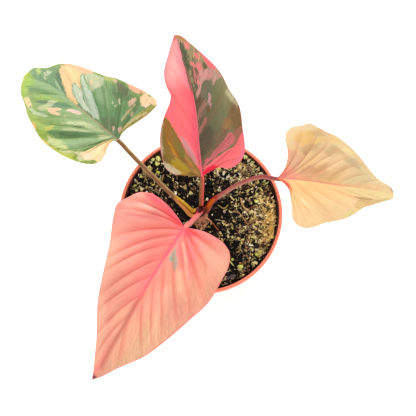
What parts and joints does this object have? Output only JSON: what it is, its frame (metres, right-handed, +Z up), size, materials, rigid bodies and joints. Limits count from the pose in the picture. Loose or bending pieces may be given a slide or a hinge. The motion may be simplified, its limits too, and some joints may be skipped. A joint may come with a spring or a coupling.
{
  "type": "potted pink diamond homalomena",
  "caption": "Small variegated aroid house plant with heart-shaped pink, cream and green leaves on spreading stalks, growing in soil in a plain tapered nursery pot.",
  "frame": {"origin": "middle of the pot's underside, on the surface that it stands on", "axes": "+Z up along the pot's axis, and the largest leaf points forward, towards -Y and a little to -X"},
  "size_m": [0.2767, 0.2308, 0.2227],
  "materials": {
    "pot": "satin",
    "soil": "matt",
    "stem_base": "matt",
    "petiole_left": "satin",
    "petiole_back": "satin",
    "petiole_right": "satin",
    "petiole_front": "satin",
    "blade_left": "satin",
    "blade_back": "satin",
    "blade_right": "satin",
    "blade_front": "satin"
  },
  "bodies": {
    "root": {"pot": "pot", "soil": "soil", "stem_base": "stem_base", "petiole_left": "petiole_left", "petiole_back": "petiole_back", "petiole_right": "petiole_right", "petiole_front": "petiole_front", "blade_left": "blade_left", "blade_back": "blade_back", "blade_right": "blade_right", "blade_front": "blade_front"}
  },
  "joints": []
}
